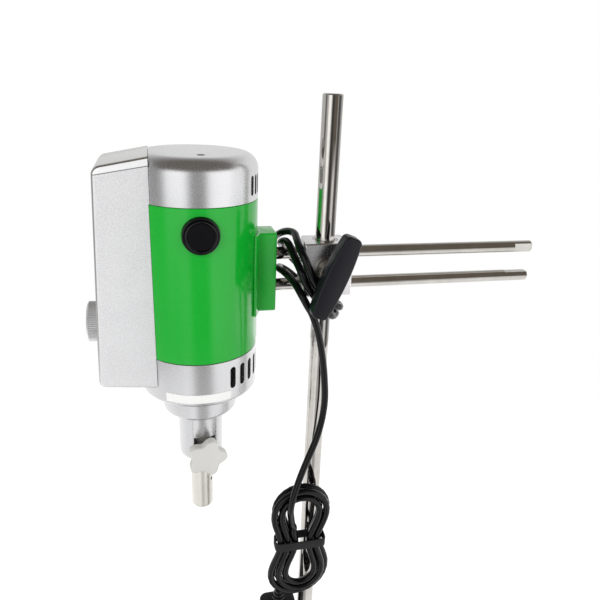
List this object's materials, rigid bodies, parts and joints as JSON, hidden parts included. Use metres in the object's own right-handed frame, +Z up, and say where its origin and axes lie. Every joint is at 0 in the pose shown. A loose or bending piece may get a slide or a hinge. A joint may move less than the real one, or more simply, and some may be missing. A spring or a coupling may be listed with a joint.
{
  "type": "laboratory homogenizer",
  "caption": "Bench homogenizer: motor head with control box on two arm rods, clamped to a post on a base plate, with its power cord.",
  "frame": {"origin": "on the bench, under the middle of the stand's outline, rods included", "axes": "+Z up along the post, +X along the arm rods away from the motor, -Y to the wing knob's side"},
  "size_m": [0.412, 0.1971, 0.6249],
  "materials": {
    "cast_silver": "satin cast silver",
    "hammered_silver": "fine hammered silver paint",
    "green_paint": "gloss enamel",
    "chrome": "polished",
    "steel": "turned",
    "black_plastic": "satin",
    "black_gloss": "moulded gloss",
    "rubber": "soft matt",
    "brass": "machined",
    "copper": "enamelled copper wire",
    "lamination": "stacked sheet",
    "carbon": "pressed carbon",
    "board": "laminate",
    "base_paint": "fine texture"
  },
  "bodies": {
    "stand": {"base_plate": "base_paint", "foot_left_front": "rubber", "foot_left_rear": "rubber", "foot_right_front": "rubber", "foot_right_rear": "rubber", "post": "chrome", "post_bolt": "steel"},
    "liner": {"post_liner": "steel"},
    "clamp": {"clamp_block": "cast_silver", "rod_screw_upper": "steel", "rod_screw_lower": "steel", "power_cord": "rubber", "cord_hank": "rubber", "cord_tail": "rubber", "cord_tie": "black_plastic", "plug_body": "black_plastic", "plug_blade_left": "brass", "plug_blade_right": "brass", "plug_blade_earth": "brass"},
    "wing": {"wing_knob": "black_plastic", "wing_screw": "steel"},
    "pad": {"wing_pad": "brass"},
    "rotor": {"motor_shaft": "steel", "armature": "lamination", "commutator": "copper", "fan": "black_plastic", "drive_coupling": "steel"},
    "star": {"star_knob": "cast_silver", "star_stud": "steel"},
    "dial": {"speed_knob": "cast_silver"},
    "head": {"upper_rod": "chrome", "lower_rod": "chrome", "arm_block": "green_paint", "arm_screw_upper": "steel", "arm_screw_lower": "steel", "top_cap": "cast_silver", "motor_sleeve": "green_paint", "lower_cap": "cast_silver", "through_bolt_rear": "steel", "through_bolt_front": "steel", "neck_barrel": "cast_silver", "chuck_tube": "steel", "stator_core": "lamination", "field_coil_right": "copper", "field_coil_left": "copper", "upper_bearing": "steel", "lower_bearing": "steel", "brush_cap_front": "black_gloss", "brush_cap_rear": "black_gloss", "brush_holder_front": "brass", "brush_holder_rear": "brass", "carbon_brush_front": "carbon", "carbon_brush_rear": "carbon", "brush_spring_front": "steel", "brush_spring_rear": "steel", "control_box": "hammered_silver", "circuit_board": "board", "potentiometer": "steel", "cord_relief": "rubber", "cord_lead": "rubber"}
  },
  "joints": [
    {"name": "height_slide", "type": "slide", "parent": "stand", "child": "liner", "axis": [0, 0, 1], "range_m": [-0.11, 0.095]},
    {"name": "clamp_swivel", "type": "hinge", "parent": "liner", "child": "clamp", "pos_m": [0.0192, -0.0198, 0.495], "axis": [0, 0, 1], "range_deg": [-180, 180]},
    {"name": "arm_slide", "type": "slide", "parent": "clamp", "child": "head", "axis": [1, 0, 0], "range_m": [-0.145, 0]},
    {"name": "wing_turn", "type": "hinge", "parent": "clamp", "child": "wing", "pos_m": [0.0192, -0.044, 0.5036], "axis": [0, -1, 0], "range_deg": [-60, 90]},
    {"name": "pad_press", "type": "slide", "parent": "clamp", "child": "pad", "axis": [0, 1, 0], "range_m": [-0.00035, 0.00025]},
    {"name": "star_turn", "type": "hinge", "parent": "head", "child": "star", "pos_m": [-0.073, 0, 0.347], "axis": [0.1045, -0.9945, 0], "range_deg": [-30, 360]},
    {"name": "speed_dial", "type": "hinge", "parent": "head", "child": "dial", "pos_m": [-0.1452, 0, 0.459], "axis": [-0.9991, 0, 0.0425], "range_deg": [-150, 150]},
    {"name": "rotor_spin", "type": "hinge", "parent": "head", "child": "rotor", "pos_m": [-0.073, 0, 0.495], "axis": [0, 0, 1], "continuous": true}
  ],
  "couplings": [
    {"joint": "pad_press", "follows": "wing_turn", "m_per_rad": -0.000199}
  ]
}
